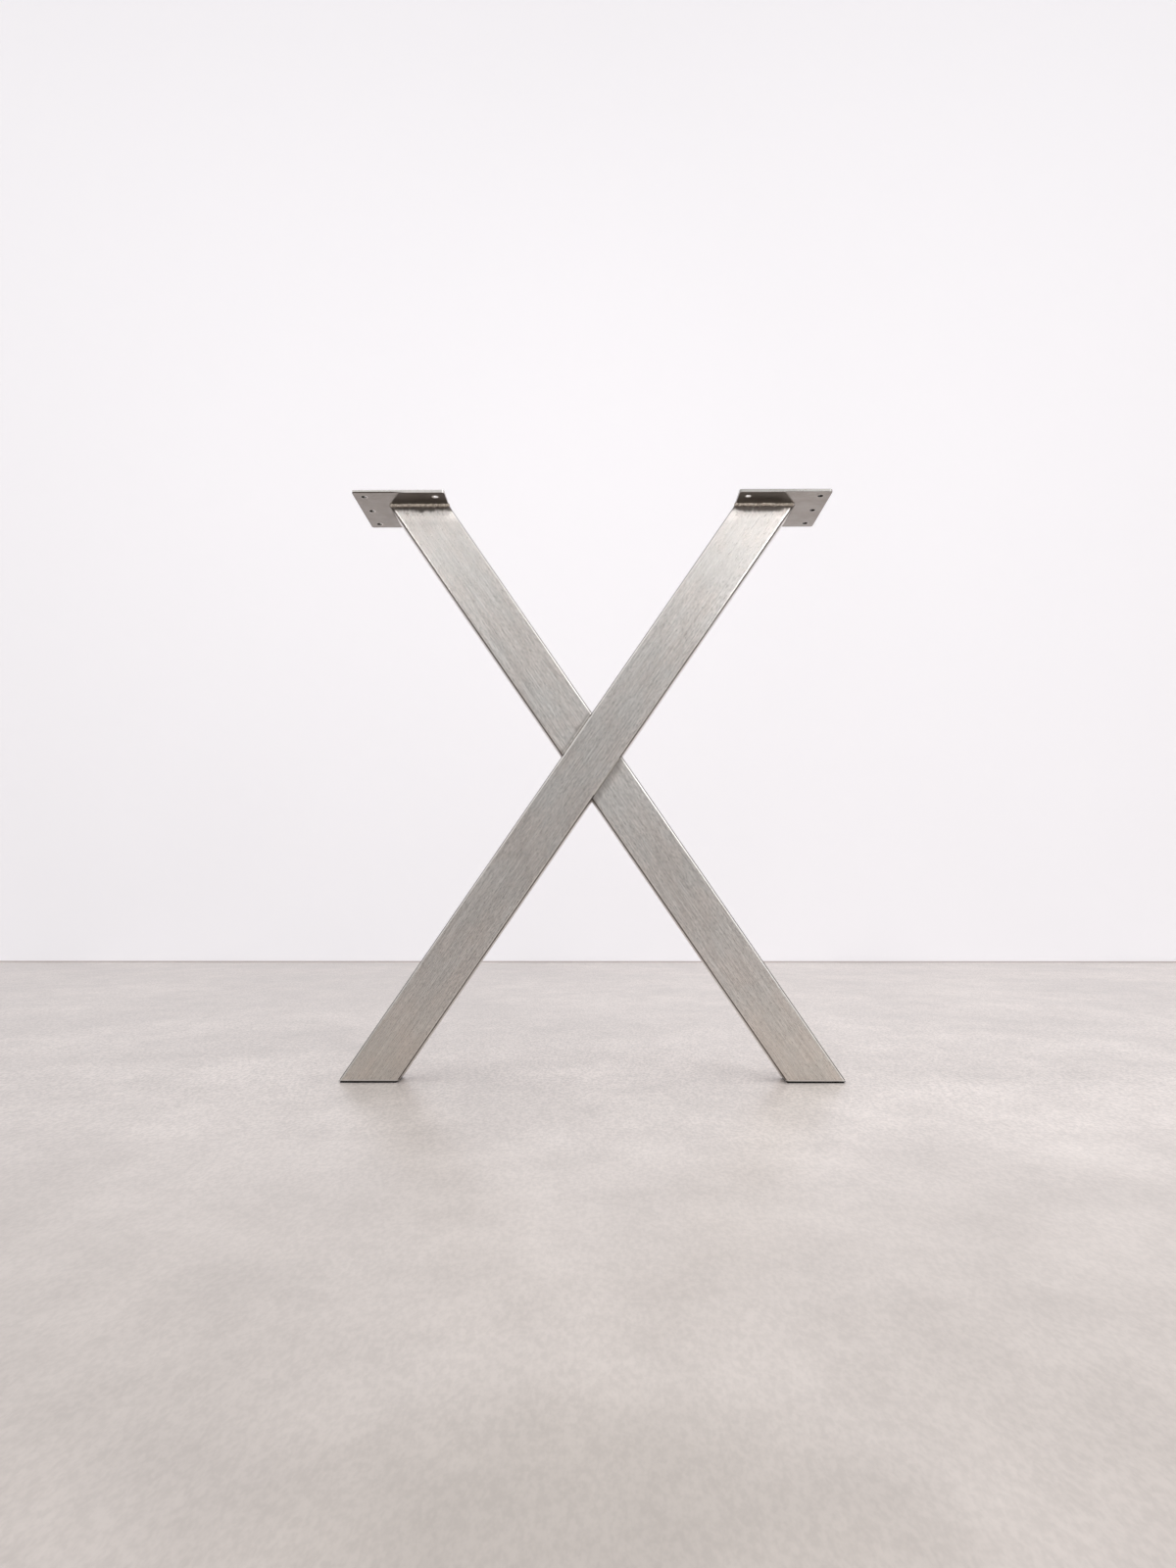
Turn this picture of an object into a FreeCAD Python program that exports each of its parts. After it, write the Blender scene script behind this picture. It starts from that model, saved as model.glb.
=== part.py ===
# An X shaped table leg, in millimetres: crossed rectangular steel tubes with a screw plate welded
# on each upper end and a rubber pad under each foot. The frame stands on z = 0, centred on the
# origin, with +X to the right and +Y to the rear.

import FreeCAD, Part
import os
import Sketcher

Vector = FreeCAD.Vector

DRIVING_SIZES = [
    ("overall_height", 710),
    ("base_width", 620),
    ("plate_gap", 350),
    ("tube_face", 60),
    ("tube_depth", 40),
    ("tube_wall", 2),
    ("tube_corner_radius", 3),
    ("plate_length", 110),
    ("plate_depth", 110),
    ("plate_thickness", 4),
    ("plate_corner_radius", 3),
    ("plate_edge_radius", 0.5),
    ("screw_hole_diameter", 6.5),
    ("screw_hole_margin", 12),
    ("foot_cap_thickness", 2),
    ("foot_pad_thickness", 2),
    ("foot_pad_inset", 1.5),
    ("foot_pad_corner_radius", 3),
    ("bead_leg", 4),
    ("bead_rounding", 3.2),
]

# Levels, from the floor up. The base width is measured where the caps meet the pads.
CAP_UNDERSIDE = "Sizes.foot_pad_thickness"
TUBE_BOTTOM = "(Sizes.foot_pad_thickness + Sizes.foot_cap_thickness)"
TUBE_TOP = "(Sizes.overall_height - Sizes.plate_thickness)"

# The tubes' lean from the vertical: the outer foot edge and the plate's inner edge are both on
# one side face of the tube.
LEAN = f"atan2((Sizes.base_width + Sizes.plate_gap) / 2; {TUBE_TOP} - {CAP_UNDERSIDE})"
CROSSING_ANGLE = f"(2 * {LEAN})"

# Half the width of the level cut across a leaning tube, and the height where the axes cross.
HALF_CUT = f"(Sizes.tube_face / (2 * cos({LEAN})))"
CROSSING = f"({CAP_UNDERSIDE} + (Sizes.base_width / 2 - {HALF_CUT}) / tan({LEAN}))"

# Where a half tube's level edge meets the side face of the through tube, along that tube.
NOTCH_NEAR = f"(Sizes.tube_face / (2 * tan({LEAN})))"
NOTCH_FAR = f"(Sizes.tube_face / 2 * tan({LEAN}))"

# Bars are drawn over-long, then trimmed by cuts that reach well past their faces.
HALF_BLANK = f"({TUBE_TOP} / cos({LEAN}))"
CUT_REACH = "Sizes.tube_face"
CUT_FAR_SIDE = f"({HALF_BLANK} + Sizes.tube_face)"

FRONT, REAR = -1, 1
LEFT, RIGHT = -1, 1

doc = FreeCAD.newDocument("x_table_leg")


def make_sizes():
    """The sheet that holds every size of the leg."""
    sheet = doc.addObject("Spreadsheet::Sheet", "Sizes")
    for row, (alias, value) in enumerate(DRIVING_SIZES, start=1):
        sheet.set(f"A{row}", alias)
        sheet.set(f"B{row}", str(value))
        sheet.setAlias(f"B{row}", alias)
    doc.recompute()
    return sheet


def new_body(name):
    """An empty body whose name and label are the piece's name."""
    body = doc.addObject("PartDesign::Body", name)
    body.Label = name
    return body


def lean_body(body, side):
    """Turn the body's own Z to the axis of a tube that rises to the given side."""
    body.Placement = FreeCAD.Placement(Vector(0, 0, 0), FreeCAD.Rotation(Vector(0, side, 0), 1))
    body.setExpression(".Placement.Rotation.Angle", LEAN)
    body.setExpression(".Placement.Base.z", CROSSING)


def new_sketch(body, name, role, offset=None):
    """A sketch on one of the body's own planes, or at an offset along that plane's normal."""
    sketch = body.newObject("Sketcher::SketchObject", f"{body.Name}_{name}")
    plane = next(item for item in body.Origin.OriginFeatures if item.Role == role)
    sketch.AttachmentSupport = (plane, "")
    sketch.MapMode = "FlatFace"
    if offset:
        sketch.setExpression(".AttachmentOffset.Base.z", offset)
    return sketch


def draw_rectangle(sketch, width, depth):
    """A rectangle centred on the sketch's origin."""
    corners = [Vector(-9, -6, 0), Vector(9, -6, 0), Vector(9, 6, 0), Vector(-9, 6, 0)]
    first = sketch.GeometryCount
    for start, end in zip(corners, corners[1:] + corners[:1]):
        sketch.addGeometry(Part.LineSegment(start, end), False)
    lower, right, upper, left = range(first, first + 4)
    for here, there in ((lower, right), (right, upper), (upper, left), (left, lower)):
        sketch.addConstraint(Sketcher.Constraint("Coincident", here, 2, there, 1))
    for level in (lower, upper):
        sketch.addConstraint(Sketcher.Constraint("Horizontal", level))
    for upright in (left, right):
        sketch.addConstraint(Sketcher.Constraint("Vertical", upright))
    sketch.addConstraint(Sketcher.Constraint("Symmetric", lower, 1, upper, 1, -1, 1))
    across = sketch.addConstraint(Sketcher.Constraint("DistanceX", lower, 1, lower, 2, 18))
    sketch.setExpression(f"Constraints[{across}]", width)
    along = sketch.addConstraint(Sketcher.Constraint("DistanceY", right, 1, right, 2, 12))
    sketch.setExpression(f"Constraints[{along}]", depth)


def draw_outline(sketch, corners):
    """A closed outline through corners, each given by its two distances from the origin."""
    count = len(corners)
    for _ in corners:
        sketch.addGeometry(Part.LineSegment(Vector(0, 0, 0), Vector(1, 1, 0)), False)
    for edge in range(count):
        sketch.addConstraint(Sketcher.Constraint("Coincident", edge, 2, (edge + 1) % count, 1))
    for edge, distances in enumerate(corners):
        for kind, distance in zip(("DistanceX", "DistanceY"), distances):
            bound = sketch.addConstraint(Sketcher.Constraint(kind, -1, 1, edge, 1, 1.0))
            sketch.setExpression(f"Constraints[{bound}]", distance)


def add_pad(body, sketch, length, side_type="One side", reverse=False):
    """Raise the sketch into a solid."""
    pad = body.newObject("PartDesign::Pad", f"{body.Name}_pad")
    pad.Profile = sketch
    pad.SideType = side_type
    pad.Reversed = reverse
    pad.setExpression("Length", length)
    sketch.Visibility = False
    return pad


def cut_through(body, sketch, name):
    """Cut the sketch's outline right through the solid, to both sides of its plane."""
    pocket = body.newObject("PartDesign::Pocket", f"{body.Name}_{name}")
    pocket.Profile = sketch
    pocket.SideType = "Symmetric"
    pocket.Type = "ThroughAll"
    sketch.Visibility = False
    return pocket


def round_edges(body, chosen, radius, name):
    """Round the edges of the body's last feature that the test chooses."""
    doc.recompute()
    base = body.Tip
    edges = [
        f"Edge{number}"
        for number, edge in enumerate(base.Shape.Edges, start=1)
        if chosen(edge, base.Shape.BoundBox)
    ]
    fillet = body.newObject("PartDesign::Fillet", f"{body.Name}_{name}")
    fillet.Base = (base, edges)
    fillet.setExpression("Radius", radius)
    return fillet


def is_upright(edge):
    """Whether an edge is straight and runs along the body's own Z."""
    ends = [vertex.Point for vertex in edge.Vertexes]
    return len(ends) == 2 and (ends[1] - ends[0]).cross(Vector(0, 0, 1)).Length < 1e-6


def is_outer_upright(edge, box):
    """An upright edge at a corner of the solid's box."""
    middle = edge.CenterOfMass
    at_side = min(middle.x - box.XMin, box.XMax - middle.x) < 1e-6
    return is_upright(edge) and at_side


def is_inner_upright(edge, box):
    """An upright edge inside the solid's box."""
    return is_upright(edge) and not is_outer_upright(edge, box)


def is_rim(edge, box):
    """An edge that lies in the top or bottom face."""
    middle = edge.CenterOfMass
    at_end = min(middle.z - box.ZMin, box.ZMax - middle.z) < 1e-6
    return at_end and edge.BoundBox.ZLength < 1e-6


def trim_bar(body, name, height, slope, waste_above):
    """Cut a bar off along a line in its face.

    The line crosses the bar's axis at the height and rises by the slope. The waste is above it
    or below it.
    """
    far_side = CUT_FAR_SIDE if waste_above else f"-{CUT_FAR_SIDE}"
    sketch = new_sketch(body, f"{name}_line", "XZ_Plane")
    draw_outline(sketch, [
        (f"-{CUT_REACH}", f"{height} - {CUT_REACH} * {slope}"),
        (CUT_REACH, f"{height} + {CUT_REACH} * {slope}"),
        (CUT_REACH, far_side),
        (f"-{CUT_REACH}", far_side),
    ])
    cut_through(body, sketch, name)


def make_bar(name, side, hollow, lower_cut, upper_cut):
    """A leaning length of tube, or of solid bar with the tube's outline, trimmed at both ends.

    Each cut is the height where it crosses the axis, from the crossing, and its slope.
    """
    body = new_body(name)
    lean_body(body, side)
    section = new_sketch(body, "section", "XY_Plane")
    draw_rectangle(section, "Sizes.tube_face", "Sizes.tube_depth")
    if hollow:
        draw_rectangle(
            section,
            "Sizes.tube_face - 2 * Sizes.tube_wall",
            "Sizes.tube_depth - 2 * Sizes.tube_wall",
        )
    add_pad(body, section, f"2 * {HALF_BLANK}", side_type="Symmetric")
    round_edges(body, is_outer_upright, "Sizes.tube_corner_radius", "outer_corners")
    if hollow:
        inner_radius = "max(Sizes.tube_corner_radius - Sizes.tube_wall; Sizes.tube_wall / 10)"
        round_edges(body, is_inner_upright, inner_radius, "inner_corners")
    trim_bar(body, "lower_end", *lower_cut, waste_above=False)
    trim_bar(body, "upper_end", *upper_cut, waste_above=True)
    return body


def level_cut(level, side):
    """The cut that leaves a bar's end level, at a height above the floor."""
    return f"(({level} - {CROSSING}) / cos({LEAN}))", f"({side} * tan({LEAN}))"


def mitre_cut(side):
    """The cut that seats a half tube on the upper or lower side face of the through tube."""
    return f"({side} * Sizes.tube_face / 2 / sin({CROSSING_ANGLE}))", f"(1 / tan({CROSSING_ANGLE}))"


def make_tubes():
    """The through tube, and the two half tubes that butt against its sides."""
    above, below = 1, -1
    through = make_bar(
        "through_tube", RIGHT, True, level_cut(TUBE_BOTTOM, RIGHT), level_cut(TUBE_TOP, RIGHT)
    )
    upper = make_bar("upper_half_tube", LEFT, True, mitre_cut(above), level_cut(TUBE_TOP, LEFT))
    lower = make_bar("lower_half_tube", LEFT, True, level_cut(TUBE_BOTTOM, LEFT), mitre_cut(below))
    return through, upper, lower


def make_foot_cap(name, tube_side):
    """The sheet that closes a tube's lower end, ground flush with the tube's faces."""
    return make_bar(
        name,
        tube_side,
        False,
        level_cut(CAP_UNDERSIDE, tube_side),
        level_cut(TUBE_BOTTOM, tube_side),
    )


def make_foot_pad(name, side):
    """The rubber pad under a foot, a little smaller than the cap that it is glued to."""
    body = new_body(name)
    body.setExpression(".Placement.Base.x", f"{side} * (Sizes.base_width / 2 - {HALF_CUT})")
    outline = new_sketch(body, "outline", "XY_Plane")
    draw_rectangle(
        outline,
        f"2 * {HALF_CUT} - 2 * Sizes.foot_pad_inset",
        "Sizes.tube_depth - 2 * Sizes.foot_pad_inset",
    )
    add_pad(body, outline, "Sizes.foot_pad_thickness")
    round_edges(body, is_outer_upright, "Sizes.foot_pad_corner_radius", "corners")
    return body


def make_mounting_plate(name, side):
    """A square plate whose inner edge is in line with the top inner corner of its tube.

    Its own +X points outwards. Three screw holes run along the outer side, and two are in the
    inner corners.
    """
    body = new_body(name)
    half_turn = 0 if side == RIGHT else 180
    body.Placement = FreeCAD.Placement(
        Vector(0, 0, 0), FreeCAD.Rotation(Vector(0, 0, 1), half_turn)
    )
    centre = f"{side} * (Sizes.plate_gap / 2 + Sizes.plate_length / 2)"
    body.setExpression(".Placement.Base.x", centre)
    body.setExpression(".Placement.Base.z", TUBE_TOP)
    outline = new_sketch(body, "outline", "XY_Plane")
    draw_rectangle(outline, "Sizes.plate_length", "Sizes.plate_depth")
    add_pad(body, outline, "Sizes.plate_thickness")
    round_edges(body, is_outer_upright, "Sizes.plate_corner_radius", "corners")
    round_edges(body, is_rim, "Sizes.plate_edge_radius", "rims")
    row_length = "Sizes.plate_depth - 2 * Sizes.screw_hole_margin"
    for row, direction, count in (("outer", "", 3), ("inner", "-", 2)):
        sketch = new_sketch(body, f"{row}_hole_circle", "XY_Plane")
        sketch.addGeometry(Part.Circle(Vector(1, 1, 0), Vector(0, 0, 1), 1), False)
        bounds = (
            ("DistanceX", f"{direction}(Sizes.plate_length / 2 - Sizes.screw_hole_margin)"),
            ("DistanceY", "-(Sizes.plate_depth / 2 - Sizes.screw_hole_margin)"),
        )
        for kind, distance in bounds:
            bound = sketch.addConstraint(Sketcher.Constraint(kind, -1, 1, 0, 3, 1.0))
            sketch.setExpression(f"Constraints[{bound}]", distance)
        bound = sketch.addConstraint(Sketcher.Constraint("Diameter", 0, 2.0))
        sketch.setExpression(f"Constraints[{bound}]", "Sizes.screw_hole_diameter")
        hole = cut_through(body, sketch, f"{row}_hole")
        pattern = body.newObject("PartDesign::LinearPattern", f"{name}_{row}_holes")
        pattern.Originals = [hole]
        pattern.Direction = (sketch, ["V_Axis"])
        pattern.Occurrences = count
        pattern.setExpression("Length", row_length)
        body.Tip = pattern
    return body


def make_plate_weld(name, side, face, tube):
    """The bead between the front or rear face of a tube and the underside of its plate.

    Its blank starts in line with the tube wall's inner face, so that the cut leaves filler round
    the tube's rounded corners.
    """
    blank = new_body(f"{name}_blank")
    blank.setExpression(".Placement.Base.x", f"{side} * (Sizes.plate_gap / 2 + {HALF_CUT})")
    blank.setExpression(".Placement.Base.z", TUBE_TOP)
    start = "(Sizes.tube_depth / 2 - Sizes.tube_wall)"
    sketch = new_sketch(blank, "outline", "XZ_Plane", f"{-face} * {start}")
    foot_shift = f"{-side} * Sizes.bead_leg * tan({LEAN})"
    draw_outline(sketch, [
        (f"-{HALF_CUT}", "0"),
        (f"-{HALF_CUT} + {foot_shift}", "-Sizes.bead_leg"),
        (f"{HALF_CUT} + {foot_shift}", "-Sizes.bead_leg"),
        (HALF_CUT, "0"),
    ])
    add_pad(blank, sketch, "Sizes.tube_wall + Sizes.bead_leg", reverse=face == REAR)

    def is_bead_crown(edge, box):
        middle = edge.CenterOfMass
        outermost = box.YMin if face == FRONT else box.YMax
        return abs(middle.z - box.ZMin) < 1e-6 and abs(middle.y - outermost) < 1e-6

    crown_radius = "min(Sizes.bead_rounding; 0.9 * Sizes.bead_leg)"
    round_edges(blank, is_bead_crown, crown_radius, "crown")
    return cut_from(name, blank, tube)


def make_crossing_weld(name, side, face, through):
    """The filler in the groove between the through tube's rounded corner and a half tube's end."""
    blank = new_body(f"{name}_blank")
    lean_body(blank, RIGHT)
    start = "(Sizes.tube_depth / 2 - Sizes.tube_wall)"
    sketch = new_sketch(blank, "outline", "XZ_Plane", f"{-face} * {start}")
    outer = f"{side} * Sizes.tube_face / 2"
    inner = f"{side} * (Sizes.tube_face / 2 - Sizes.tube_corner_radius)"
    corner_gap = f"Sizes.tube_corner_radius / sin({CROSSING_ANGLE})"
    near_end = f"{-side} * ({NOTCH_NEAR} - {corner_gap})"
    far_end = f"{side} * ({NOTCH_FAR} - {corner_gap})"
    draw_outline(sketch, [
        (outer, near_end),
        (inner, near_end),
        (inner, far_end),
        (outer, far_end),
    ])
    add_pad(blank, sketch, "Sizes.tube_wall", reverse=face == REAR)
    return cut_from(name, blank, through)


def cut_from(name, blank, tube):
    """A weld bead: its blank, less the tube that it lies against."""
    bead = doc.addObject("Part::Cut", name)
    bead.Label = name
    bead.Base = blank
    bead.Tool = tube
    return bead


def check_features():
    """Stop if any feature failed."""
    for item in doc.Objects:
        if "Invalid" in item.State or "Error" in item.State:
            raise RuntimeError(f"{item.Name} failed: {item.State}")


def check_piece(piece):
    """Stop if a piece is empty, broken or not one solid."""
    shape = piece.Shape
    if shape.isNull() or not shape.isValid() or len(shape.Solids) != 1:
        raise RuntimeError(f"{piece.Label} isn't one valid solid")


sizes = make_sizes()
through_tube, upper_half_tube, lower_half_tube = make_tubes()
pieces = [
    through_tube,
    upper_half_tube,
    lower_half_tube,
    make_mounting_plate("left_mounting_plate", LEFT),
    make_mounting_plate("right_mounting_plate", RIGHT),
    make_foot_cap("left_foot_cap", RIGHT),
    make_foot_cap("right_foot_cap", LEFT),
    make_foot_pad("left_foot_pad", LEFT),
    make_foot_pad("right_foot_pad", RIGHT),
]
for word, face in (("front", FRONT), ("rear", REAR)):
    pieces += [
        make_plate_weld(f"left_plate_weld_{word}", LEFT, face, upper_half_tube),
        make_plate_weld(f"right_plate_weld_{word}", RIGHT, face, through_tube),
        make_crossing_weld(f"crossing_weld_upper_{word}", LEFT, face, through_tube),
        make_crossing_weld(f"crossing_weld_lower_{word}", RIGHT, face, through_tube),
    ]

doc.recompute()
check_features()
for piece in pieces:
    check_piece(piece)

os.makedirs("parts", exist_ok=True)
for piece in pieces:
    piece.Shape.exportStep(f"parts/{piece.Label}.step")
    print(f"{piece.Label}: {piece.Shape.Volume:.1f} cubic mm")
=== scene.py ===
"""An X shaped table leg of brushed stainless steel on a pale floor, dressed around its frame."""

import math

import bmesh
import bpy
from mathutils import Matrix, Vector, noise


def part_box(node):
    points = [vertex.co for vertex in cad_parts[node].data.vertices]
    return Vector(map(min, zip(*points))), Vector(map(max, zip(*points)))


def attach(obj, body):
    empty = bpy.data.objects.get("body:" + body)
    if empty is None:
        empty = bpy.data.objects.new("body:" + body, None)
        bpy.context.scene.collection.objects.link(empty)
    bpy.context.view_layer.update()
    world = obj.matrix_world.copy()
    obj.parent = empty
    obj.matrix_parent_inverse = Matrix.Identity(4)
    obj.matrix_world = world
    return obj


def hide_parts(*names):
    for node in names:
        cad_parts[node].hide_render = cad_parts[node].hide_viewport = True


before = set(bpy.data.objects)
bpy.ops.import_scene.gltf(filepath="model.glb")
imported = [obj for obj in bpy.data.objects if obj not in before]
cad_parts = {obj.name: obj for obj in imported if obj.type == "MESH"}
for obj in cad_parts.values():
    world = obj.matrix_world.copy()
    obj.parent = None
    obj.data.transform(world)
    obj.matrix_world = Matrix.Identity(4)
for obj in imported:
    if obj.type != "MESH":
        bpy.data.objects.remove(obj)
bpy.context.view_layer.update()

# The through tube: a rectangular tube of stainless steel, in one length from the left foot to the
# right plate and cut level at both ends. It was brushed lengthwise on a belt, and the weld at its
# upper end has left a dark smoky tint on its face.

PLATE_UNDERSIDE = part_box("right_mounting_plate")[0].z
PLATE_INNER_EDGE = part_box("right_mounting_plate")[0].x
CAP_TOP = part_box("left_foot_cap")[1].z
FOOT_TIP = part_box("through_tube")[0].x
LEAN = math.atan2(PLATE_INNER_EDGE - FOOT_TIP, PLATE_UNDERSIDE - CAP_TOP)
BRUSH_GRAIN = (0.0006, 0.0006, 0.0048)
BRUSH_STROKE = (0.00085, 0.00085, 0.05)
STEEL_PATCH = (0.03, 0.03, 0.05)
SCRATCH = (0.0009, 0.0009, 0.045)
STEEL_TONES = ((0.609, 0.582, 0.561), (0.626, 0.581, 0.553))
SCRATCH_TONE = (0.85, 0.84, 0.82)
FOOT_WARMTH = (1.02, 1.0, 0.96)
CORNER_SHADE_TINT = (0.07, 0.058, 0.05)
EDGE_HIGHLIGHT_TONE = (0.9, 0.88, 0.86)
LOWER_EDGE_SHADE_TINT = (0.2, 0.19, 0.18)
SMOKE_AND_SHADE_TINT = (0.09, 0.074, 0.062)
THROUGH_TUBE_TOP_LIGHT = 1.3
THROUGH_TUBE_SMOKE = 0.01


def blank_finish(name, metallic=1.0):
    """A new finish: its material, node tree and shader."""
    finish = bpy.data.materials.new(name)
    finish.use_nodes = True
    shader = finish.node_tree.nodes["Principled BSDF"]
    shader.inputs["Metallic"].default_value = metallic
    return finish, finish.node_tree, shader


def feed(tree, socket, value):
    """Gives a socket a number, a colour or another node's output."""
    if isinstance(value, bpy.types.NodeSocket):
        tree.links.new(value, socket)
    elif socket.type == "RGBA":
        socket.default_value = (*value, 1)
    else:
        socket.default_value = value


def sums(tree, operation, *values):
    """One number worked out from others, each a number or a node's output."""
    step = tree.nodes.new("ShaderNodeMath")
    step.operation = operation
    for socket, value in zip(step.inputs, values):
        feed(tree, socket, value)
    return step.outputs["Value"]


def fade(tree, value, start, end, least=0.0, most=1.0):
    """A soft run from least, where the value is at start, to most at end."""
    step = tree.nodes.new("ShaderNodeMapRange")
    step.interpolation_type = "SMOOTHSTEP"
    feed(tree, step.inputs["Value"], value)
    step.inputs["From Min"].default_value = start
    step.inputs["From Max"].default_value = end
    step.inputs["To Min"].default_value = least
    step.inputs["To Max"].default_value = most
    return step.outputs["Result"]


def tinted(tree, amount, first, second, mode="MIX"):
    """The first colour, with the second laid over it by an amount.

    A node that mixes colours has them on inputs 6 and 7 and gives the result on output 2.
    """
    step = tree.nodes.new("ShaderNodeMix")
    step.data_type = "RGBA"
    step.blend_type = mode
    feed(tree, step.inputs[0], amount)
    feed(tree, step.inputs[6], first)
    feed(tree, step.inputs[7], second)
    return step.outputs[2]


def placed(tree, turn=(0, 0, 0), size=(1, 1, 1), shift=(0, 0, 0)):
    """Object coordinates from a shifted, turned place, in units of a size."""
    place = tree.nodes.new("ShaderNodeTexCoord")
    space = tree.nodes.new("ShaderNodeMapping")
    space.vector_type = "TEXTURE"
    space.inputs["Rotation"].default_value = turn
    space.inputs["Scale"].default_value = size
    space.inputs["Location"].default_value = shift
    tree.links.new(place.outputs["Object"], space.inputs["Vector"])
    return space.outputs["Vector"]


def mottle(tree, size, shift=(0, 0, 0), detail=2.0, turn=(0, 0, 0)):
    """Noise whose marks have a size, in metres, along the axes of a turned place."""
    marks = tree.nodes.new("ShaderNodeTexNoise")
    marks.inputs["Scale"].default_value = 1.0
    marks.inputs["Detail"].default_value = detail
    marks.inputs["Roughness"].default_value = 0.6
    tree.links.new(placed(tree, turn, size, shift), marks.inputs["Vector"])
    return marks.outputs["Fac"]


def axis(tree, vector, letter):
    """The X, Y or Z of a place or a direction."""
    parts = tree.nodes.new("ShaderNodeSeparateXYZ")
    tree.links.new(vector, parts.inputs["Vector"])
    return parts.outputs[letter]


def above_floor(tree):
    """Height above the floor, in metres."""
    return axis(tree, placed(tree), "Z")


def facing(tree, letter):
    """How far a face looks along an axis, from -1 to 1."""
    surface = tree.nodes.new("ShaderNodeNewGeometry")
    return axis(tree, surface.outputs["Normal"], letter)


def relief(tree, shader, height, strength, depth):
    """Raises and sinks the surface with a pattern, over a depth in metres."""
    bump = tree.nodes.new("ShaderNodeBump")
    bump.inputs["Strength"].default_value = strength
    bump.inputs["Distance"].default_value = depth
    tree.links.new(height, bump.inputs["Height"])
    tree.links.new(bump.outputs["Normal"], shader.inputs["Normal"])


def plate_weld_smoke(tree, shift, deep):
    """The ragged dark tint that the plate's weld left on the top of a tube's faces."""
    depth = sums(tree, "SUBTRACT", PLATE_UNDERSIDE, above_floor(tree))
    ragged = mottle(tree, (0.02, 0.05, 0.02), shift, 1.0)
    wisps = mottle(tree, (0.003, 0.02, 0.012), shift, 3.0)
    reach = sums(tree, "ADD", fade(tree, ragged, 0.35, 0.65, -0.0018, 0.0022), depth)
    reach = sums(tree, "ADD", reach, fade(tree, wisps, 0.2, 0.8, -0.0011, 0.0011))
    return fade(tree, reach, deep, deep - 0.0045)


def brushed_steel(name, lean, shift, top_light, smoke_and_shade):
    """Stainless steel brushed along a tube at a lean; painted light makes it brighter at the top.

    The last argument makes the tint that the tube's welds left, and on the half tubes also
    painted shade beside the crossing welds.
    """
    finish, tree, shader = blank_finish(name)
    turn = (0, lean, 0)
    shader.inputs["Anisotropic"].default_value = 0.85
    shader.inputs["Anisotropic Rotation"].default_value = 0.25
    along = tree.nodes.new("ShaderNodeCombineXYZ")
    along.inputs["X"].default_value = math.sin(lean)
    along.inputs["Z"].default_value = math.cos(lean)
    tree.links.new(along.outputs["Vector"], shader.inputs["Tangent"])

    grain = mottle(tree, BRUSH_GRAIN, shift, 1.0, turn)
    strokes = mottle(tree, BRUSH_STROKE, shift, 2.0, turn)
    patches = mottle(tree, STEEL_PATCH, shift, 2.0, turn)
    scratches = mottle(tree, SCRATCH, (0.1, 0.2002, 0.3), 0.0, turn)
    plain = tinted(tree, fade(tree, patches, 0.35, 0.65), *STEEL_TONES)
    colour = tinted(tree, 1.0, plain, fade(tree, grain, 0.25, 0.75, 0.81, 1.19), "MULTIPLY")
    colour = tinted(tree, 1.0, colour, fade(tree, strokes, 0.25, 0.75, 0.82, 1.18), "MULTIPLY")
    colour = tinted(tree, fade(tree, scratches, 0.64, 0.76, 0, 0.45), colour, SCRATCH_TONE)

    # The brush marks grow faint towards the plate and the foot.
    height = above_floor(tree)
    marked = fade(tree, height, PLATE_UNDERSIDE - 0.15, PLATE_UNDERSIDE - 0.03, 1.0, 0.4)
    marked = sums(tree, "MULTIPLY", marked, fade(tree, height, 0.02, 0.14, 0.6, 1.0))
    colour = tinted(tree, marked, plain, colour)
    # The last stretch under the plate is painted brighter, as light.
    painted_top_light = fade(tree, height, PLATE_UNDERSIDE - 0.024, PLATE_UNDERSIDE - 0.011, 1.0, top_light)
    colour = tinted(tree, 1.0, colour, painted_top_light, "MULTIPLY")
    colour = tinted(tree, fade(tree, height, 0.16, 0.0), colour, FOOT_WARMTH, "MULTIPLY")

    # The rounded corners are painted dark as shade, and the edges of the faces beside them carry
    # a painted highlight.
    front = sums(tree, "ABSOLUTE", facing(tree, "Y"))
    below = fade(tree, facing(tree, "Z"), 0.1, -0.3)
    turned = sums(tree, "MULTIPLY_ADD", below, -0.08, front)
    painted_corner_shade = sums(tree, "MULTIPLY", fade(tree, front, 0.03, 0.1), fade(tree, turned, 0.82, 0.74))
    colour = tinted(tree, sums(tree, "MULTIPLY", painted_corner_shade, 0.87), colour, CORNER_SHADE_TINT)
    edge_highlight = sums(tree, "MULTIPLY", fade(tree, turned, 0.78, 0.85), fade(tree, front, 0.99, 0.96))
    colour = tinted(tree, sums(tree, "MULTIPLY", edge_highlight, 0.4), colour, EDGE_HIGHLIGHT_TONE)
    # Near the plate the painted highlight on the downward edges is painted darker again, as
    # shade.
    topmost = fade(tree, height, PLATE_UNDERSIDE - 0.12, PLATE_UNDERSIDE - 0.03, 0.0, 0.7)
    shaded = sums(tree, "MULTIPLY", sums(tree, "MULTIPLY", edge_highlight, below), topmost)
    colour = tinted(tree, shaded, colour, LOWER_EDGE_SHADE_TINT)

    # The welds' smoky tint, and on the half tubes painted shade beside the crossing welds.
    tint = smoke_and_shade(tree)
    colour = tinted(tree, sums(tree, "MULTIPLY", tint, 0.9), colour, SMOKE_AND_SHADE_TINT)
    tree.links.new(colour, shader.inputs["Base Color"])
    gloss = fade(tree, grain, 0.25, 0.75, 0.27, 0.3)
    gloss = sums(tree, "MULTIPLY_ADD", tint, 0.15, gloss)
    tree.links.new(gloss, shader.inputs["Roughness"])
    relief(tree, shader, grain, 0.12, 0.00015)
    return finish


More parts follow.
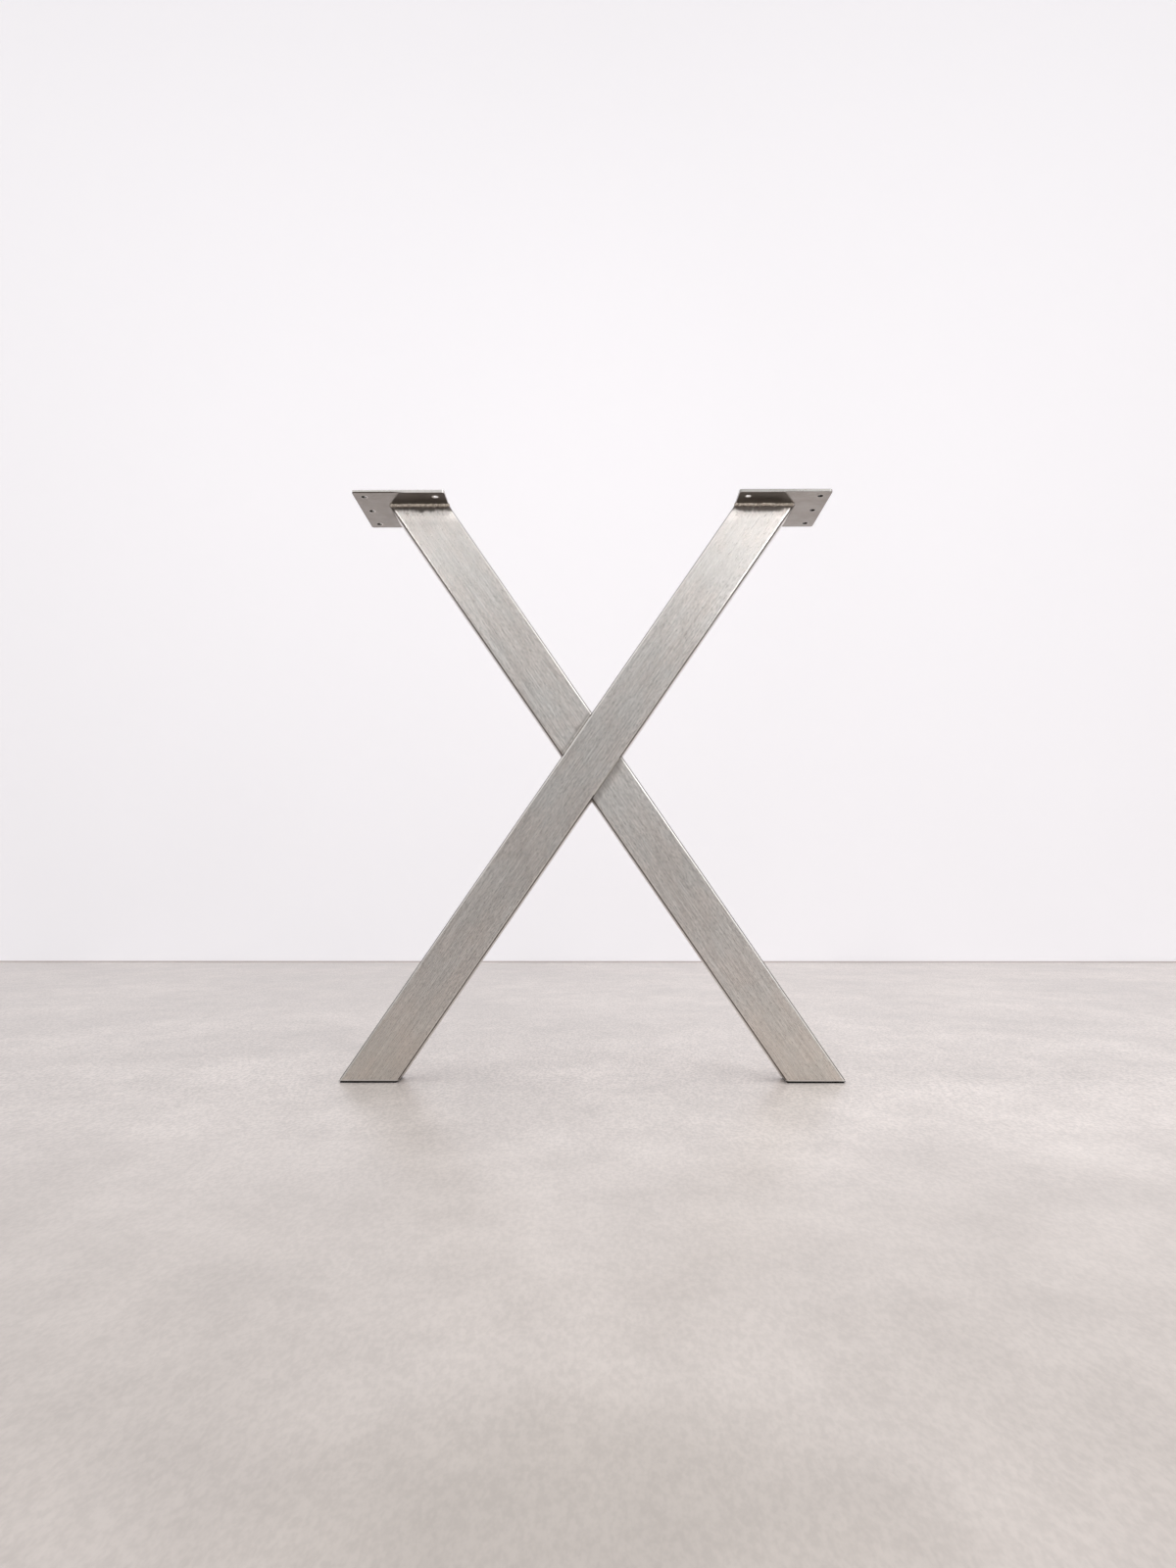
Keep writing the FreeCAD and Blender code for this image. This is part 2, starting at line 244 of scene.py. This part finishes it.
through_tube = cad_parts["through_tube"]
through_tube.data.materials[0] = brushed_steel(
    "through_tube_steel",
    LEAN,
    (0, 0, 0),
    THROUGH_TUBE_TOP_LIGHT,
    lambda tree: plate_weld_smoke(tree, (0.2, 0, 0), THROUGH_TUBE_SMOKE),
)

# The crossing tube: the same stock cut in two, each half mitred square against a side of the
# through tube and welded there. Its faces are darker in a soft band along the seams, and a dark
# line of painted shade lies in the crease beside the upper welds.

TUBE_WIDTH = 0.06
LEVEL_CUT = TUBE_WIDTH / math.cos(LEAN)
CROSSING_HEIGHT = CAP_TOP - (FOOT_TIP + LEVEL_CUT / 2) / math.tan(LEAN)
HALF_TUBE_TOP_LIGHT = 1.58
HALF_TUBE_SMOKE = 0.0118


def crossing_tint_and_shade(tree):
    """The plate's weld tint, a soft darker band along the seams, and painted shade in the upper
    crease.
    """
    turn = (0, LEAN, 0)
    across = axis(tree, placed(tree, turn=turn, shift=(0, 0, CROSSING_HEIGHT)), "X")
    gap = sums(tree, "SUBTRACT", sums(tree, "ABSOLUTE", across), TUBE_WIDTH / 2)
    ragged = mottle(tree, (0.01, 0.05, 0.012), (0.4, 0.1, 0.2), 2.0, turn)
    reach = sums(tree, "MULTIPLY_ADD", ragged, 0.008, gap)
    lower = fade(tree, reach, 0.0155, 0.0055, 0.0, 0.62)
    past_weld = fade(tree, gap, 0.0014, 0.0019)
    # A dark line of painted shade in the crease just past the upper welds.
    painted_crease_shade = sums(tree, "MULTIPLY", past_weld, fade(tree, gap, 0.003, 0.0022))
    upper = sums(tree, "MULTIPLY", past_weld, fade(tree, reach, 0.0105, 0.0045))
    upper = sums(tree, "MULTIPLY", sums(tree, "MAXIMUM", upper, painted_crease_shade), 0.6)
    side = sums(tree, "GREATER_THAN", across, 0)
    lower = sums(tree, "MULTIPLY", lower, side)
    upper = sums(tree, "MULTIPLY", upper, sums(tree, "SUBTRACT", 1, side))
    seam = sums(tree, "MAXIMUM", lower, upper)
    return sums(tree, "MAXIMUM", seam, plate_weld_smoke(tree, (0.5, 0, 0.3), HALF_TUBE_SMOKE))


half_tube_steel = brushed_steel(
    "half_tube_steel", -LEAN, (0.3, 0, 0.2), HALF_TUBE_TOP_LIGHT, crossing_tint_and_shade
)
for name in ("upper_half_tube", "lower_half_tube"):
    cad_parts[name].data.materials[0] = half_tube_steel

# The crossing welds: a narrow bead in each groove between the through tube's rounded corner and
# the end of a half tube. They were ground down to just under the faces, and stop short of the
# notches above and below, where the grooves end in a dark gap.

CROSSING_WELD_RADIUS = 0.00125
CROSSING_WELD_ACROSS = 0.0288
CROSSING_WELD_DEPTH = 0.0182
CROSSING_WELD_REACH = (-0.0172, 0.0378)
CROSSING_WELD_RINGS = 0.001
CROSSING_WELD_WAVE = 0.006
GROUND_TONES = ((0.47, 0.44, 0.4), (0.66, 0.63, 0.59))
GROUND_BURN_TINT = (0.25, 0.21, 0.17)


def weld_rod(length, gap, width, segments=16):
    """A closed rod along X from 0 to a length, with rings a gap apart whose size width gives."""
    rod = bmesh.new()
    bmesh.ops.create_cone(
        rod, cap_ends=True, segments=segments, radius1=1, radius2=1, depth=length
    )
    sides = [e for e in rod.edges if abs(e.verts[0].co.z - e.verts[1].co.z) > length / 2]
    bmesh.ops.subdivide_edges(rod, edges=sides, cuts=round(length / gap))
    bmesh.ops.rotate(
        rod, cent=(0, 0, 0), matrix=Matrix.Rotation(math.radians(90), 3, "Y"), verts=rod.verts
    )
    bmesh.ops.translate(rod, vec=(length / 2, 0, 0), verts=rod.verts)
    for vert in rod.verts:
        out, up = width(vert.co)
        vert.co.y *= out
        vert.co.z *= up
    return rod


def finished_piece(name, maker, node, surface):
    """Makes a shape the piece that stands for a CAD node, with the finish it is given."""
    bmesh.ops.recalc_face_normals(maker, faces=maker.faces)
    mesh = bpy.data.meshes.new(name)
    maker.to_mesh(mesh)
    maker.free()
    mesh.shade_smooth()
    mesh.materials.append(surface)
    piece = bpy.data.objects.new(name, mesh)
    bpy.context.scene.collection.objects.link(piece)
    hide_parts(node)
    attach(piece, "root")


def ground_weld_steel():
    """Weld metal ground along its seam, a little duller than the tubes."""
    finish, tree, shader = blank_finish("ground_weld_steel")
    turn = (0, LEAN, 0)
    scores = mottle(tree, (0.0006, 0.0006, 0.008), turn=turn)
    burns = mottle(tree, (0.004, 0.004, 0.009), (0.2, 0.1, 0), 2.0, turn)
    colour = tinted(tree, fade(tree, scores, 0.3, 0.7), *GROUND_TONES)
    colour = tinted(tree, fade(tree, burns, 0.55, 0.75, 0, 0.5), colour, GROUND_BURN_TINT)
    tree.links.new(colour, shader.inputs["Base Color"])
    tree.links.new(fade(tree, scores, 0.3, 0.7, 0.42, 0.3), shader.inputs["Roughness"])
    relief(tree, shader, scores, 0.4, 0.0001)
    return finish


def waver(along, wave, seed, row=0):
    """Smooth noise along a bead, in waves of about a length in metres."""
    return noise.noise(Vector((along / wave, seed, row)))


def ground_width(point):
    """The ground bead's radius, which wavers slightly along its run."""
    radius = CROSSING_WELD_RADIUS * (1 + 0.08 * waver(point.x, CROSSING_WELD_WAVE, 3.1))
    return radius, radius


ground_weld = ground_weld_steel()
crossing = Matrix.Translation((0, 0, CROSSING_HEIGHT)) @ Matrix.Rotation(LEAN, 4, "Y")
start, end = CROSSING_WELD_REACH
for seam, across in (("upper", -1), ("lower", 1)):
    for face, out in (("front", -1), ("rear", 1)):
        node = f"crossing_weld_{seam}_{face}"
        bead = weld_rod(end - start, CROSSING_WELD_RINGS, ground_width, 12)
        bmesh.ops.translate(bead, vec=(start, 0, 0), verts=bead.verts)
        upright = Matrix.Rotation(math.radians(90 * across), 4, "Y")
        place = Matrix.Translation(
            (across * CROSSING_WELD_ACROSS, out * CROSSING_WELD_DEPTH, 0)
        )
        bmesh.ops.transform(bead, matrix=crossing @ place @ upright, verts=bead.verts)
        finished_piece(f"ground_{node}", bead, node, ground_weld)

# The mounting plates: squares of steel plate with rounded corners, left with their mill finish.
# They were laser cut, so their rims and holes have a fine vertical grain over a darker burnt
# lower edge, and each is welded on across the end of a tube.

PLATE_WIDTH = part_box("right_mounting_plate")[1].x - PLATE_INNER_EDGE
PLATE_CENTRE = PLATE_INNER_EDGE + PLATE_WIDTH / 2
TUBE_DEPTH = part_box("through_tube")[1].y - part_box("through_tube")[0].y
REFLECTION_SLANT = 0.5
HOLE_PITCH = 0.043
HOLE_RADIUS = 0.00325
PLATE_TONES = ((0.375, 0.357, 0.337), (0.44, 0.422, 0.402))
SPECK_TINT = (0.2, 0.18, 0.17)
TUBE_REFLECTION_TINT = (0.045, 0.035, 0.026)
RIM_TONES = ((0.64, 0.62, 0.59), (0.72, 0.7, 0.68))
BURN_TINT = (0.07, 0.055, 0.045)
HOLE_HIGHLIGHT_TONE = (0.95, 0.93, 0.91)
INNER_HOLE_LIGHT_TONE = (0.8, 0.78, 0.76)
HOLE_SHADE_TINT = (0.015, 0.012, 0.01)


def plate_steel(name, side, rim_light, burn, outer_hole_light, reflection_darkness):
    """Mill finished plate; side is -1 for the left plate and 1 for the right one.

    Two painted light levels set how bright its rim and its outer holes are, burn how strongly its
    lower edge is burnt, and the last how dark the painted reflection of the tube beside its weld
    is.
    """
    finish, tree, shader = blank_finish(name)
    grid = placed(tree, shift=(side * PLATE_CENTRE, 0, 0))
    outward = sums(tree, "MULTIPLY", axis(tree, grid, "X"), side)
    rolling = mottle(tree, (0.05, 0.0016, 0.05), (0.2 * side, 0, 0), 3.0)
    clouds = mottle(tree, (0.02, 0.02, 0.02), (0.3 * side, 0.1, 0), 3.0)
    specks = mottle(tree, (0.0018, 0.0018, 0.0018), detail=1.0)
    colour = tinted(tree, fade(tree, clouds, 0.3, 0.7), *PLATE_TONES)
    colour = tinted(tree, 1.0, colour, fade(tree, rolling, 0.3, 0.7, 0.93, 1.06), "MULTIPLY")
    colour = tinted(tree, fade(tree, specks, 0.7, 0.8, 0, 0.4), colour, SPECK_TINT)

    # The underside beside the tube, as far as its outer side, is painted dark as the tube's
    # reflection.
    beside = sums(tree, "ABSOLUTE", axis(tree, grid, "Y"))
    beside = sums(tree, "MAXIMUM", sums(tree, "SUBTRACT", beside, TUBE_DEPTH / 2), 0)
    painted_tube_reflection = sums(tree, "MULTIPLY_ADD", beside, REFLECTION_SLANT, outward)
    painted_tube_reflection = sums(tree, "SUBTRACT", painted_tube_reflection, LEVEL_CUT - PLATE_WIDTH / 2)
    painted_tube_reflection = fade(tree, painted_tube_reflection, -0.0012, -0.002)
    painted_tube_reflection = sums(tree, "MULTIPLY", painted_tube_reflection, fade(tree, facing(tree, "Z"), -0.8, -0.95))
    colour = tinted(tree, sums(tree, "MULTIPLY", painted_tube_reflection, reflection_darkness), colour, TUBE_REFLECTION_TINT)

    # The laser left a bright, finely ridged rim with a burnt lower edge.
    level = sums(tree, "ABSOLUTE", facing(tree, "Z"))
    rim = fade(tree, level, 0.75, 0.4)
    striation = mottle(tree, (0.0011, 0.0011, 0.02))
    rim_colour = tinted(tree, fade(tree, striation, 0.3, 0.7), *RIM_TONES)
    # The rim's brightness is a painted light level; the right plate's rim is painted darker as
    # shade.
    rim_colour = tinted(tree, 1.0, rim_colour, (rim_light, rim_light, rim_light), "MULTIPLY")
    height = sums(tree, "SUBTRACT", above_floor(tree), PLATE_UNDERSIDE)
    burnt = fade(tree, sums(tree, "MULTIPLY_ADD", striation, -0.0004, height), 0.0015, 0.001)
    burnt = sums(tree, "MULTIPLY", burnt, fade(tree, outward, -0.012, 0.008, 0.15 * burn, burn))
    rim_colour = tinted(tree, burnt, rim_colour, BURN_TINT)
    colour = tinted(tree, rim, colour, rim_colour)

    # Each hole has a painted highlight round its mouth; the inner hole's wall is painted light,
    # and the outer ones' walls are painted in shade.
    aside = sums(tree, "SUBTRACT", sums(tree, "ABSOLUTE", outward), HOLE_PITCH)
    deep = sums(tree, "WRAP", axis(tree, grid, "Y"), HOLE_PITCH / 2, -HOLE_PITCH / 2)
    squares = sums(tree, "MULTIPLY_ADD", aside, aside, sums(tree, "MULTIPLY", deep, deep))
    distance = sums(tree, "SQRT", squares)
    hole_highlight = fade(tree, distance, HOLE_RADIUS + 0.0018, HOLE_RADIUS + 0.001)
    hole_highlight = sums(tree, "MULTIPLY", hole_highlight, fade(tree, level, 0.6, 0.9))
    hole_highlight = sums(tree, "MULTIPLY", hole_highlight, fade(tree, aside, -0.0015, -0.003, 0.15, outer_hole_light))
    colour = tinted(tree, hole_highlight, colour, HOLE_HIGHLIGHT_TONE)
    wall = fade(tree, distance, HOLE_RADIUS + 0.0003, HOLE_RADIUS + 0.0001)
    wall = sums(tree, "MULTIPLY", wall, rim)
    outer = fade(tree, outward, 0.0, 0.01)
    shaded = fade(tree, sums(tree, "MULTIPLY", facing(tree, "X"), side), 0.15, -0.1)
    outer_hole_wall_light = (outer_hole_light, outer_hole_light * 0.97, outer_hole_light * 0.95)
    cut = tinted(tree, outer, INNER_HOLE_LIGHT_TONE, outer_hole_wall_light)
    colour = tinted(tree, wall, colour, cut)
    painted_hole_shade = sums(tree, "MULTIPLY", sums(tree, "MULTIPLY", wall, outer), shaded)
    colour = tinted(tree, painted_hole_shade, colour, HOLE_SHADE_TINT)

    tree.links.new(colour, shader.inputs["Base Color"])
    gloss = fade(tree, clouds, 0.3, 0.7, 0.13, 0.19)
    gloss = sums(tree, "MULTIPLY_ADD", painted_tube_reflection, 0.15, gloss)
    tree.links.new(sums(tree, "MULTIPLY_ADD", rim, 0.12, gloss), shader.inputs["Roughness"])
    relief(tree, shader, sums(tree, "ADD", rolling, striation), 0.12, 0.00008)
    return finish


# Per plate: side, node, painted rim light, burn, painted outer hole light and painted reflection
# darkness.
for side, node, rim_light, burn, outer_hole_light, reflection_darkness in (
    (-1, "left_mounting_plate", 1.0, 1.0, 0.9, 0.85),
    (1, "right_mounting_plate", 0.6, 0.3, 0.15, 0.77),
):
    steel = plate_steel(f"{node}_steel", side, rim_light, burn, outer_hole_light, reflection_darkness)
    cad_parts[node].data.materials[0] = steel

# The plate welds: one hand-made bead on each side of a tube, in the corner under its plate. The
# weld metal is left as it cooled, lumpy, rippled and straw coloured.

PLATE_WELD_LEG = 0.004
PLATE_WELD_END = 0.0012
PLATE_WELD_TAPER = 0.004
PLATE_WELD_BITE = 0.0002
PLATE_WELD_RINGS = 0.0005
LUMP = 0.0045
RIPPLE = 0.0027
GRIT = 0.002
STRAW_TONES = ((0.47, 0.42, 0.355), (0.78, 0.72, 0.635))
RIPPLE_TINT = (0.24, 0.19, 0.145)
SLAG_TINT = (0.06, 0.045, 0.035)
SPARK_TONE = (0.98, 0.96, 0.93)
TOE_SHADE_TINT = (0.08, 0.062, 0.048)


def weld_straw_steel():
    """Weld metal as it cooled, straw coloured, with dark slag in its hollows."""
    finish, tree, shader = blank_finish("weld_straw_steel", 0.75)
    lumps = mottle(tree, (0.0028, 0.0028, 0.0028), detail=3.0)
    ripples = mottle(tree, (0.0009, 0.004, 0.004), (0.3, 0, 0), 2.0)
    slag = mottle(tree, (0.0015, 0.0015, 0.0013), (0.1, 0.4, 0), 2.0)
    sparks = mottle(tree, (0.0012, 0.0012, 0.0012), (0.6, 0.2, 0), 1.0)
    colour = tinted(tree, fade(tree, lumps, 0.3, 0.7), *STRAW_TONES)
    colour = tinted(tree, fade(tree, ripples, 0.5, 0.7, 0, 0.4), colour, RIPPLE_TINT)
    colour = tinted(tree, fade(tree, slag, 0.57, 0.68, 0, 0.8), colour, SLAG_TINT)
    colour = tinted(tree, fade(tree, sparks, 0.62, 0.7), colour, SPARK_TONE)
    below = sums(tree, "SUBTRACT", PLATE_UNDERSIDE, above_floor(tree))
    # The bead's edges against the tube and under the plate are painted dark as shade.
    tube_toe = fade(tree, below, 0.0024, 0.0034)
    plate_toe = fade(tree, below, 0.0007, 0.0003)
    painted_toe_shade = sums(tree, "MAXIMUM", tube_toe, plate_toe)
    colour = tinted(tree, sums(tree, "MULTIPLY", painted_toe_shade, 0.6), colour, TOE_SHADE_TINT)
    tree.links.new(colour, shader.inputs["Base Color"])
    tree.links.new(fade(tree, lumps, 0.3, 0.7, 0.55, 0.35), shader.inputs["Roughness"])
    relief(tree, shader, sums(tree, "ADD", ripples, lumps), 0.5, 0.0003)
    return finish


def bead_width(seed, length):
    """The bead's girth along its run: overlapping ripples on slow lumps, tapered at both ends."""

    def width(point):
        slow = waver(point.x, LUMP, seed)
        fine = waver(point.x, GRIT, seed, point.z * 0.6)
        phase = point.x / RIPPLE + 0.5 * waver(point.x, 0.008, seed, 5)
        ripple = (phase % 1) ** 2
        taper = min(1, 0.35 + min(point.x, length - point.x) / PLATE_WELD_TAPER)
        girth = PLATE_WELD_LEG * taper
        out = girth * (0.95 + 0.3 * slow + 0.12 * fine - 0.12 * ripple)
        fall = waver(point.x, 0.004, seed, 9)
        return out, girth * (0.98 + 0.4 * fall + 0.12 * fine - 0.1 * ripple)

    return width


weld_straw = weld_straw_steel()
for side, hand in (("left", -1), ("right", 1)):
    for face, out in (("front", -1), ("rear", 1)):
        node = f"{side}_plate_weld_{face}"
        low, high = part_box(node)
        length = high.x - low.x - 2 * PLATE_WELD_END
        seed = hand * 2.3 + out * 0.7
        bead = weld_rod(length, PLATE_WELD_RINGS, bead_width(seed, length))
        corner = Vector((low.x + PLATE_WELD_END, out * TUBE_DEPTH / 2, PLATE_UNDERSIDE))
        bmesh.ops.translate(bead, vec=corner, verts=bead.verts)
        tube_face = (0, corner.y - out * PLATE_WELD_BITE, 0)
        plate_face = (0, 0, corner.z + PLATE_WELD_BITE)
        for point, away in ((tube_face, (0, -out, 0)), (plate_face, (0, 0, 1))):
            everything = bead.verts[:] + bead.edges[:] + bead.faces[:]
            bmesh.ops.bisect_plane(
                bead, geom=everything, plane_co=point, plane_no=away, clear_outer=True
            )
            open_edges = [edge for edge in bead.edges if edge.is_boundary]
            bmesh.ops.holes_fill(bead, edges=open_edges)
        finished_piece(f"rippled_{node}", bead, node, weld_straw)

# The foot caps: pieces of sheet that close the tubes' lower ends, welded on and ground flush, so
# that they show only as a bright strip above the pads, its lower edge painted dark as shade.

CAP_TONES = ((0.6, 0.57, 0.54), (0.76, 0.73, 0.7))
CAP_STAIN = (0.4, 0.37, 0.34)
CONTACT_SHADE_TINT = (0.03, 0.026, 0.023)


def ground_cap_steel():
    """Sheet ground level with the tube's sides, with fine level scores."""
    finish, tree, shader = blank_finish("ground_cap_steel")
    scores = mottle(tree, (0.012, 0.012, 0.0004))
    patches = mottle(tree, (0.01, 0.01, 0.004), (0.3, 0, 0), 2.0)
    colour = tinted(tree, fade(tree, scores, 0.3, 0.7), *CAP_TONES)
    colour = tinted(tree, fade(tree, patches, 0.5, 0.75, 0, 0.4), colour, CAP_STAIN)
    # The cap's lowest stretch, just above the pad, is painted dark as shade.
    height = sums(tree, "SUBTRACT", above_floor(tree), CAP_TOP)
    painted_contact_shade = fade(tree, height, -0.0012, -0.0016, 0.0, 0.95)
    colour = tinted(tree, painted_contact_shade, colour, CONTACT_SHADE_TINT)
    tree.links.new(colour, shader.inputs["Base Color"])
    tree.links.new(fade(tree, scores, 0.3, 0.7, 0.42, 0.32), shader.inputs["Roughness"])
    relief(tree, shader, scores, 0.25, 0.0001)
    return finish


ground_cap = ground_cap_steel()
for node in ("left_foot_cap", "right_foot_cap"):
    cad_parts[node].data.materials[0] = ground_cap

# The foot pads: thin slips of black rubber glued under the caps, matt, finely grained and a
# little dusty at their lower edges.

RUBBER_TONES = ((0.012, 0.012, 0.013), (0.03, 0.029, 0.028))
DUST_TONE = (0.2, 0.19, 0.18)


def pad_rubber():
    """Matt black rubber with fine pores, and dust low on its sides."""
    finish, tree, shader = blank_finish("pad_rubber", 0.0)
    pores = mottle(tree, (0.0006, 0.0006, 0.0006))
    dust = mottle(tree, (0.006, 0.006, 0.002), (0.2, 0, 0), 3.0)
    low = fade(tree, above_floor(tree), 0.0012, 0.0)
    dusty = sums(tree, "MULTIPLY", fade(tree, dust, 0.4, 0.7), low)
    colour = tinted(tree, fade(tree, pores, 0.3, 0.7), *RUBBER_TONES)
    colour = tinted(tree, sums(tree, "MULTIPLY", dusty, 0.05), colour, DUST_TONE)
    tree.links.new(colour, shader.inputs["Base Color"])
    tree.links.new(fade(tree, pores, 0.3, 0.7, 0.75, 0.9), shader.inputs["Roughness"])
    shader.inputs["Specular IOR Level"].default_value = 0.2
    relief(tree, shader, pores, 0.3, 0.0001)
    return finish


rubber = pad_rubber()
for node in ("left_foot_pad", "right_foot_pad"):
    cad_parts[node].data.materials[0] = rubber

# The floor and the wall behind: a pale polished floor with soft clouds in it, and a plain white
# wall that meets it at a thin shadow line.

STAGE_SIZE = 14
WALL_DISTANCE = 2.15
FLOOR_TONES = ((0.55, 0.5, 0.472), (0.685, 0.628, 0.598))
FLOOR_SHADE_TINT = (0.42, 0.38, 0.345)
WALL_TONE = (0.9, 0.887, 0.918)
WALL_FOOT_TONE = (0.5, 0.45, 0.44)


def stage_sheet(name, turn, place, surface):
    """A flat sheet of the stage, turned and then moved to its place."""
    maker = bmesh.new()
    bmesh.ops.create_grid(maker, x_segments=1, y_segments=1, size=STAGE_SIZE / 2)
    bmesh.ops.transform(maker, matrix=Matrix.Translation(place) @ turn, verts=maker.verts)
    mesh = bpy.data.meshes.new(name)
    maker.to_mesh(mesh)
    maker.free()
    mesh.materials.append(surface)
    sheet = bpy.data.objects.new(name, mesh)
    bpy.context.scene.collection.objects.link(sheet)


def floor_finish():
    """Pale polished floor: soft clouds, smears and fine speckle.

    It is painted darker in front as shade and brighter to the right as light.
    """
    finish, tree, shader = blank_finish("floor_finish", 0.0)
    ground = placed(tree)
    sideways = axis(tree, ground, "X")
    backward = axis(tree, ground, "Y")
    clouds = mottle(tree, (0.35, 0.35, 1), (0.4, 0, 0), 5.0)
    colour = tinted(tree, fade(tree, clouds, 0.3, 0.7), *FLOOR_TONES)
    # A soft patch in front and the floor nearest the camera are painted darker, as shade.
    painted_shade_spot = placed(tree, size=(0.14, 0.16, 1), shift=(0, -0.92, 0))
    side = axis(tree, painted_shade_spot, "X")
    ahead = axis(tree, painted_shade_spot, "Y")
    spread = sums(tree, "MULTIPLY_ADD", side, side, sums(tree, "MULTIPLY", ahead, ahead))
    painted_near_shade = fade(tree, backward, -0.2, -0.8, 0.0, 0.32)
    painted_near_shade = sums(tree, "ADD", painted_near_shade, fade(tree, spread, 1.5, 0.2, 0.0, 0.35))
    colour = tinted(tree, painted_near_shade, colour, FLOOR_SHADE_TINT)
    # The floor is painted brighter towards the right, as light falling from that side.
    painted_side_light = fade(tree, sideways, -0.35, 0.35, 0.97, 1.09)
    colour = tinted(tree, 1.0, colour, painted_side_light, "MULTIPLY")
    smears = mottle(tree, (0.07, 0.1, 1), (0.2, 0.3, 0), 3.0)
    colour = tinted(tree, 1.0, colour, fade(tree, smears, 0.3, 0.7, 0.95, 1.05), "MULTIPLY")
    speckle = mottle(tree, (0.003, 0.006, 1), (0, 0.1, 0.4), 2.0)
    speckled = tinted(tree, 1.0, colour, fade(tree, speckle, 0.3, 0.7, 0.82, 1.18), "MULTIPLY")
    rough = fade(tree, backward, -0.6, 0.15, 0.3, 1.0)
    colour = tinted(tree, rough, colour, speckled)
    tree.links.new(colour, shader.inputs["Base Color"])
    tree.links.new(fade(tree, clouds, 0.3, 0.7, 0.28, 0.36), shader.inputs["Roughness"])
    return finish


def wall_finish():
    """Matt white paint, darker along its foot, that glows a little where it is looked at."""
    finish, tree, shader = blank_finish("wall_finish", 0.0)
    shader.inputs["Roughness"].default_value = 0.9
    shader.inputs["Specular IOR Level"].default_value = 0.1
    height = above_floor(tree)
    line = fade(tree, height, 0.006, 0.003)
    colour = tinted(tree, line, WALL_TONE, WALL_FOOT_TONE)
    tree.links.new(colour, shader.inputs["Base Color"])
    ray = tree.nodes.new("ShaderNodeLightPath")
    seen = sums(tree, "ADD", ray.outputs["Is Camera Ray"], ray.outputs["Is Glossy Ray"])
    glow = sums(tree, "MULTIPLY", seen, fade(tree, height, 0, 3, 0.19, 0.29))
    tree.links.new(colour, shader.inputs["Emission Color"])
    tree.links.new(glow, shader.inputs["Emission Strength"])
    return finish


stage_sheet("floor", Matrix.Identity(4), (0, 0, 0), floor_finish())
upright = Matrix.Rotation(math.radians(90), 4, "X")
stage_sheet("wall", upright, (0, WALL_DISTANCE, 0), wall_finish())

# The studio light: an even sky that is dim at the horizon, two narrow panels low at the sides
# that light the tubes' tops, one panel high on the right and a tall one further round.

SKY_STRENGTH = 1.25
HORIZON_SHADE = 0.15
SKY_SHADES = ((0.1, 0.38), (0.6, 1.0))

world = bpy.data.worlds.new("studio")
world.use_nodes = True
sky = world.node_tree
direction = sky.nodes.new("ShaderNodeTexCoord")
ramp = sky.nodes.new("ShaderNodeValToRGB")
for stop, shade in SKY_SHADES:
    ramp.color_ramp.elements.new(stop).color = (shade, shade, shade, 1)
ramp.color_ramp.elements[0].color = (HORIZON_SHADE, HORIZON_SHADE, HORIZON_SHADE, 1)
sky.links.new(axis(sky, direction.outputs["Generated"], "Z"), ramp.inputs["Fac"])
sky.links.new(ramp.outputs["Color"], sky.nodes["Background"].inputs["Color"])
sky.nodes["Background"].inputs["Strength"].default_value = SKY_STRENGTH
bpy.context.scene.world = world


def softbox(name, place, target, size, watts, spread=180):
    """A soft panel lamp at a place, aimed at a target, with its spread in degrees."""
    lamp = bpy.data.lights.new(name, "AREA")
    lamp.shape = "RECTANGLE"
    lamp.size, lamp.size_y = size
    lamp.energy = watts
    lamp.spread = math.radians(spread)
    box = bpy.data.objects.new(name, lamp)
    bpy.context.scene.collection.objects.link(box)
    box.location = place
    box.rotation_euler = (Vector(target) - Vector(place)).to_track_quat("-Z", "Y").to_euler()


softbox("low_right", (1.5, -2.0, 0.95), (0.2, 0, 1.3), (0.35, 0.6), 1.1, 45)
softbox("low_left", (-1.5, -2.0, 0.95), (-0.2, 0, 1.3), (0.35, 0.6), 0.75, 45)
softbox("high_right", (1.4, -2.2, 1.9), (0, 0, 0.5), (1.2, 1.2), 7.5)
softbox("tall_right", (1.8, -2.0, 1.0), (0, 0, 0.4), (1.0, 1.8), 6.5)

# The camera: level, at the photograph's height and distance and turned by a third of a degree.
# The picture is shifted for the photograph's framing, so that upright lines stay upright.

PHOTO_HEIGHT = 1600
FOCAL_LENGTH = 1001.0
HORIZON_ROW = 914.0
CAMERA_PLACE = (0.0022, -1.2162, 0.2286)
CAMERA_TURN = 0.0058
SENSOR = 36

lens = bpy.data.cameras.new("camera")
lens.sensor_width = SENSOR
lens.lens = FOCAL_LENGTH / PHOTO_HEIGHT * SENSOR
lens.shift_y = (HORIZON_ROW - PHOTO_HEIGHT / 2) / PHOTO_HEIGHT
camera = bpy.data.objects.new("camera", lens)
camera.location = CAMERA_PLACE
camera.rotation_euler = (math.radians(90), 0, CAMERA_TURN)
bpy.context.scene.collection.objects.link(camera)
bpy.context.scene.camera = camera
bpy.context.scene.view_settings.view_transform = "Standard"
